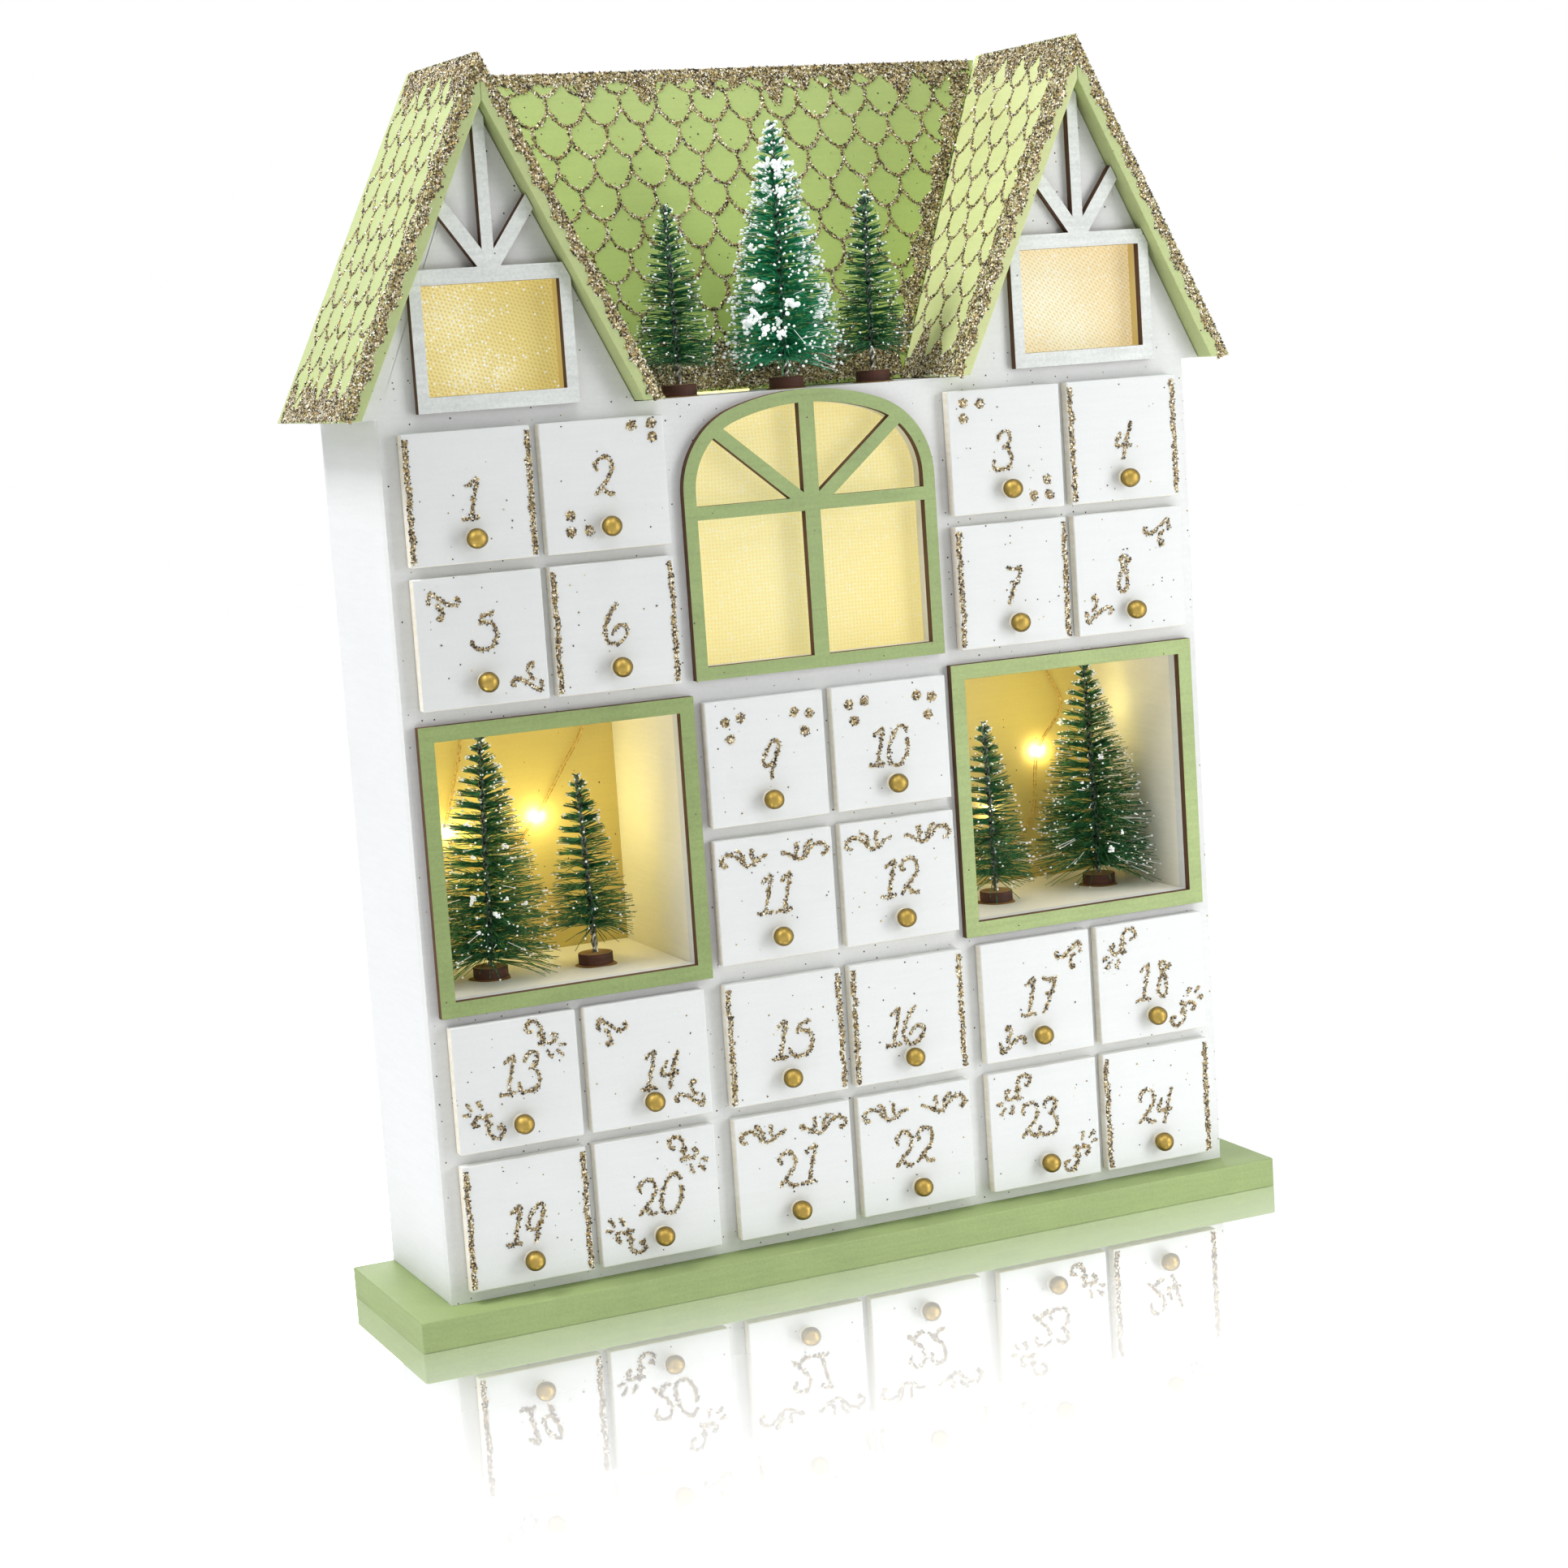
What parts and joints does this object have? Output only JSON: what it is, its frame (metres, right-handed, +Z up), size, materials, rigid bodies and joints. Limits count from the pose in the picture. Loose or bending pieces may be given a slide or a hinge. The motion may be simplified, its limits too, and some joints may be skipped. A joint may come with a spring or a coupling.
{
  "type": "light-up advent calendar",
  "caption": "Free-standing wooden calendar shaped like gabled house fronts, with numbered drawers, lit dioramas with brush trees, an arched window and a glittered roof.",
  "frame": {"origin": "centre of the plinth's underside, in the middle of the calendar's width and depth", "axes": "+Z up, the drawers face -Y and pull out along -Y, +X to the right seen from the front"},
  "size_m": [0.3192, 0.076, 0.4059],
  "materials": {
    "sage_paint": "matt painted plywood",
    "white_paint": "matt painted plywood",
    "plywood": "bare plywood",
    "glittered_roof": "painted, with glitter",
    "lit_fabric": "sparkling gauze",
    "bristle": "cut bristles",
    "black_plastic": "moulded",
    "cell_steel": "satin",
    "wire": "lacquered wire"
  },
  "bodies": {
    "house": {"plinth": "sage_paint", "diorama_frame_left": "sage_paint", "diorama_frame_right": "sage_paint", "arch_frame": "sage_paint", "gable_trim_left": "white_paint", "gable_trim_right": "white_paint", "facade": "white_paint", "back_panel": "white_paint", "side_panel_left": "white_paint", "side_panel_right": "white_paint", "diorama_sleeve_left": "white_paint", "diorama_sleeve_right": "white_paint", "partition_left": "plywood", "partition_right": "plywood", "upper_rack_left": "plywood", "upper_rack_right": "plywood", "lower_rack_left": "plywood", "lower_rack_right": "plywood", "centre_rack": "plywood", "roof_board_left_outer": "glittered_roof", "roof_board_left_inner": "glittered_roof", "roof_board_right_inner": "glittered_roof", "roof_board_right_outer": "glittered_roof", "centre_roof": "glittered_roof", "arch_screen": "lit_fabric", "gable_screen_left": "lit_fabric", "gable_screen_right": "lit_fabric", "roof_trees": "bristle", "left_diorama_trees": "bristle", "right_diorama_trees": "bristle", "battery_box": "black_plastic", "cell_lower": "cell_steel", "cell_upper": "cell_steel", "light_string": "wire"},
    "drawer_01": {"drawer_01": "white_paint"},
    "drawer_02": {"drawer_02": "white_paint"},
    "drawer_03": {"drawer_03": "white_paint"},
    "drawer_04": {"drawer_04": "white_paint"},
    "drawer_05": {"drawer_05": "white_paint"},
    "drawer_06": {"drawer_06": "white_paint"},
    "drawer_07": {"drawer_07": "white_paint"},
    "drawer_08": {"drawer_08": "white_paint"},
    "drawer_09": {"drawer_09": "white_paint"},
    "drawer_10": {"drawer_10": "white_paint"},
    "drawer_11": {"drawer_11": "white_paint"},
    "drawer_12": {"drawer_12": "white_paint"},
    "drawer_13": {"drawer_13": "white_paint"},
    "drawer_14": {"drawer_14": "white_paint"},
    "drawer_15": {"drawer_15": "white_paint"},
    "drawer_16": {"drawer_16": "white_paint"},
    "drawer_17": {"drawer_17": "white_paint"},
    "drawer_18": {"drawer_18": "white_paint"},
    "drawer_19": {"drawer_19": "white_paint"},
    "drawer_20": {"drawer_20": "white_paint"},
    "drawer_21": {"drawer_21": "white_paint"},
    "drawer_22": {"drawer_22": "white_paint"},
    "drawer_23": {"drawer_23": "white_paint"},
    "drawer_24": {"drawer_24": "white_paint"},
    "battery_door": {"battery_door": "black_plastic"},
    "switch_slider": {"switch_slider": "black_plastic"}
  },
  "joints": [
    {"name": "drawer_01_slide", "type": "slide", "parent": "house", "child": "drawer_01", "axis": [0, -1, 0], "range_m": [0, 0.045]},
    {"name": "drawer_02_slide", "type": "slide", "parent": "house", "child": "drawer_02", "axis": [0, -1, 0], "range_m": [0, 0.045]},
    {"name": "drawer_03_slide", "type": "slide", "parent": "house", "child": "drawer_03", "axis": [0, -1, 0], "range_m": [0, 0.045]},
    {"name": "drawer_04_slide", "type": "slide", "parent": "house", "child": "drawer_04", "axis": [0, -1, 0], "range_m": [0, 0.045]},
    {"name": "drawer_05_slide", "type": "slide", "parent": "house", "child": "drawer_05", "axis": [0, -1, 0], "range_m": [0, 0.045]},
    {"name": "drawer_06_slide", "type": "slide", "parent": "house", "child": "drawer_06", "axis": [0, -1, 0], "range_m": [0, 0.045]},
    {"name": "drawer_07_slide", "type": "slide", "parent": "house", "child": "drawer_07", "axis": [0, -1, 0], "range_m": [0, 0.045]},
    {"name": "drawer_08_slide", "type": "slide", "parent": "house", "child": "drawer_08", "axis": [0, -1, 0], "range_m": [0, 0.045]},
    {"name": "drawer_09_slide", "type": "slide", "parent": "house", "child": "drawer_09", "axis": [0, -1, 0], "range_m": [0, 0.045]},
    {"name": "drawer_10_slide", "type": "slide", "parent": "house", "child": "drawer_10", "axis": [0, -1, 0], "range_m": [0, 0.045]},
    {"name": "drawer_11_slide", "type": "slide", "parent": "house", "child": "drawer_11", "axis": [0, -1, 0], "range_m": [0, 0.045]},
    {"name": "drawer_12_slide", "type": "slide", "parent": "house", "child": "drawer_12", "axis": [0, -1, 0], "range_m": [0, 0.045]},
    {"name": "drawer_13_slide", "type": "slide", "parent": "house", "child": "drawer_13", "axis": [0, -1, 0], "range_m": [0, 0.045]},
    {"name": "drawer_14_slide", "type": "slide", "parent": "house", "child": "drawer_14", "axis": [0, -1, 0], "range_m": [0, 0.045]},
    {"name": "drawer_15_slide", "type": "slide", "parent": "house", "child": "drawer_15", "axis": [0, -1, 0], "range_m": [0, 0.045]},
    {"name": "drawer_16_slide", "type": "slide", "parent": "house", "child": "drawer_16", "axis": [0, -1, 0], "range_m": [0, 0.045]},
    {"name": "drawer_17_slide", "type": "slide", "parent": "house", "child": "drawer_17", "axis": [0, -1, 0], "range_m": [0, 0.045]},
    {"name": "drawer_18_slide", "type": "slide", "parent": "house", "child": "drawer_18", "axis": [0, -1, 0], "range_m": [0, 0.045]},
    {"name": "drawer_19_slide", "type": "slide", "parent": "house", "child": "drawer_19", "axis": [0, -1, 0], "range_m": [0, 0.045]},
    {"name": "drawer_20_slide", "type": "slide", "parent": "house", "child": "drawer_20", "axis": [0, -1, 0], "range_m": [0, 0.045]},
    {"name": "drawer_21_slide", "type": "slide", "parent": "house", "child": "drawer_21", "axis": [0, -1, 0], "range_m": [0, 0.045]},
    {"name": "drawer_22_slide", "type": "slide", "parent": "house", "child": "drawer_22", "axis": [0, -1, 0], "range_m": [0, 0.045]},
    {"name": "drawer_23_slide", "type": "slide", "parent": "house", "child": "drawer_23", "axis": [0, -1, 0], "range_m": [0, 0.045]},
    {"name": "drawer_24_slide", "type": "slide", "parent": "house", "child": "drawer_24", "axis": [0, -1, 0], "range_m": [0, 0.045]},
    {"name": "battery_door_hinge", "type": "hinge", "parent": "house", "child": "battery_door", "pos_m": [-0.011, 0.0368, 0.2105], "axis": [-1, 0, 0], "range_deg": [0, 90]},
    {"name": "switch_slide", "type": "slide", "parent": "house", "child": "switch_slider", "axis": [1, 0, 0], "range_m": [0, 0.004]}
  ]
}
